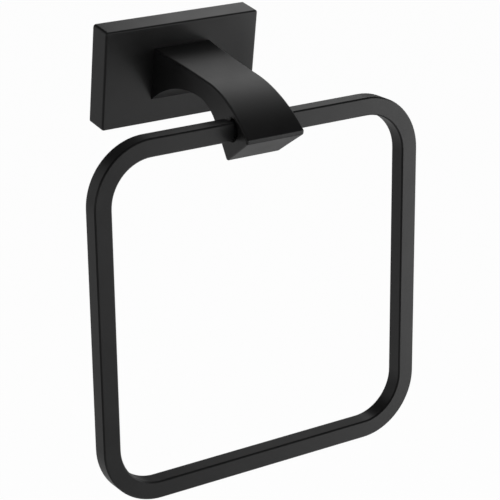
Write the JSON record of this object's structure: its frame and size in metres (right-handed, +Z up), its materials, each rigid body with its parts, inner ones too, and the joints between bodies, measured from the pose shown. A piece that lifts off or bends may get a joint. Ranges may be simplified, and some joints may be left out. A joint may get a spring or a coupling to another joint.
{
  "type": "towel ring",
  "caption": "Square towel ring of bent square bar, swinging in the bored end of an arched arm on a rectangular wall plate with a hidden fixing bracket.",
  "frame": {"origin": "middle of the wall face, on the wall plane", "axes": "+Y into the wall, +Z up, +X to the right as seen from the room"},
  "size_m": [0.16, 0.102, 0.1767],
  "materials": {
    "black_coat": "matte",
    "zinc_steel": "satin",
    "black_steel": "satin"
  },
  "bodies": {
    "holder": {"wall_plate": "black_coat", "support_arm": "black_coat", "wall_bracket": "zinc_steel", "set_screw": "black_steel", "arm_screw_left": "zinc_steel", "arm_screw_right": "zinc_steel", "lock_washer_left": "zinc_steel", "lock_washer_right": "zinc_steel"},
    "ring": {"towel_ring": "black_coat"}
  },
  "joints": [
    {"name": "ring_swing", "type": "hinge", "parent": "holder", "child": "ring", "pos_m": [0, -0.0739, -0.00034], "axis": [1, 0, 0], "range_deg": [-197.5, 35.5]}
  ]
}
